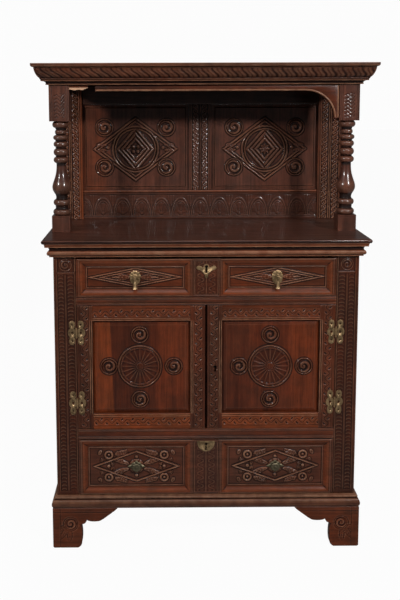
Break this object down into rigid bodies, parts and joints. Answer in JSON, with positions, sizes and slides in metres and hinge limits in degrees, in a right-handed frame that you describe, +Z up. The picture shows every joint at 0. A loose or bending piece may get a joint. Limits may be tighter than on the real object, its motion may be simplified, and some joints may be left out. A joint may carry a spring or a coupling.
{
  "type": "court cupboard sideboard",
  "caption": "Carved oak court cupboard: an open canopied shelf on turned columns over panelled doors between drawers, on bracket feet.",
  "frame": {"origin": "on the floor, in the middle of the overall box", "axes": "+X to the right seen from the front, +Y to the back, +Z up"},
  "size_m": [1.1606, 0.47, 1.6406],
  "materials": {
    "dark_oak": "waxed dark red-brown oak",
    "red_oak": "polished red-brown oak panels",
    "plain_oak": "unpolished inside oak",
    "brass": "tarnished cast brass",
    "iron": "dark forged iron"
  },
  "bodies": {
    "case": {"front_stile_left": "dark_oak", "front_stile_right": "dark_oak", "side_left": "dark_oak", "side_right": "dark_oak", "lower_back": "plain_oak", "lower_rail": "dark_oak", "upper_rail": "dark_oak", "top_rail": "dark_oak", "bottom_board": "plain_oak", "cupboard_floor": "plain_oak", "dust_board": "plain_oak", "top_moulding": "dark_oak", "plinth_moulding": "dark_oak", "foot_left": "dark_oak", "foot_right": "dark_oak", "serving_top": "dark_oak", "column_left": "dark_oak", "column_right": "dark_oak", "back_stile_left": "dark_oak", "back_stile_right": "dark_oak", "back_panel_left": "red_oak", "back_panel_right": "red_oak", "back_bottom_rail": "dark_oak", "back_top_rail": "dark_oak", "back_muntin": "dark_oak", "canopy_board": "dark_oak", "cornice": "dark_oak", "apron": "dark_oak", "hinge_left_lower_frame_leaf": "brass", "hinge_left_upper_frame_leaf": "brass", "hinge_right_lower_frame_leaf": "brass", "hinge_right_upper_frame_leaf": "brass"},
    "upper_drawer": {"upper_drawer_front": "dark_oak", "upper_drawer_sides": "plain_oak", "upper_drawer_bottom": "plain_oak", "upper_drawer_key_plate": "brass", "upper_drawer_lock": "iron", "pull_plate_left": "brass", "pull_plate_right": "brass"},
    "upper_drawer_bolt": {"upper_drawer_bolt": "iron"},
    "pull_drop_left": {"pull_drop_left": "brass"},
    "pull_drop_right": {"pull_drop_right": "brass"},
    "lower_drawer": {"lower_drawer_front": "dark_oak", "lower_drawer_sides": "plain_oak", "lower_drawer_bottom": "plain_oak", "lower_drawer_key_plate": "brass", "lower_drawer_lock": "iron", "knob_left": "brass", "knob_right": "brass"},
    "lower_drawer_bolt": {"lower_drawer_bolt": "iron"},
    "left_door": {"left_door_frame": "dark_oak", "left_door_panel": "red_oak", "hinge_left_lower_door_leaf": "brass", "hinge_left_upper_door_leaf": "brass"},
    "right_door": {"right_door_frame": "dark_oak", "right_door_panel": "red_oak", "hinge_right_lower_door_leaf": "brass", "hinge_right_upper_door_leaf": "brass", "right_door_lock": "iron"},
    "right_door_bolt": {"right_door_bolt": "iron"}
  },
  "joints": [
    {"name": "upper_drawer_slide", "type": "slide", "parent": "case", "child": "upper_drawer", "axis": [0, -1, 0], "range_m": [0, 0.3]},
    {"name": "upper_drawer_bolt_slide", "type": "slide", "parent": "upper_drawer", "child": "upper_drawer_bolt", "axis": [0, 0, 1], "range_m": [0, 0.01]},
    {"name": "pull_drop_left_hinge", "type": "hinge", "parent": "upper_drawer", "child": "pull_drop_left", "pos_m": [-0.2355, -0.217, 0.93875], "axis": [-1, 0, 0], "range_deg": [0, 95]},
    {"name": "pull_drop_right_hinge", "type": "hinge", "parent": "upper_drawer", "child": "pull_drop_right", "pos_m": [0.2355, -0.217, 0.93875], "axis": [-1, 0, 0], "range_deg": [0, 95]},
    {"name": "lower_drawer_slide", "type": "slide", "parent": "case", "child": "lower_drawer", "axis": [0, -1, 0], "range_m": [0, 0.3]},
    {"name": "lower_drawer_bolt_slide", "type": "slide", "parent": "lower_drawer", "child": "lower_drawer_bolt", "axis": [0, 0, 1], "range_m": [0, 0.01]},
    {"name": "left_door_hinge", "type": "hinge", "parent": "case", "child": "left_door", "pos_m": [-0.43175, -0.2085, 0.62725], "axis": [0, 0, -1], "range_deg": [0, 165]},
    {"name": "right_door_hinge", "type": "hinge", "parent": "case", "child": "right_door", "pos_m": [0.43175, -0.2085, 0.62725], "axis": [0, 0, 1], "range_deg": [0, 165]},
    {"name": "right_door_bolt_slide", "type": "slide", "parent": "right_door", "child": "right_door_bolt", "axis": [-1, 0, 0], "range_m": [0, 0.01]}
  ]
}
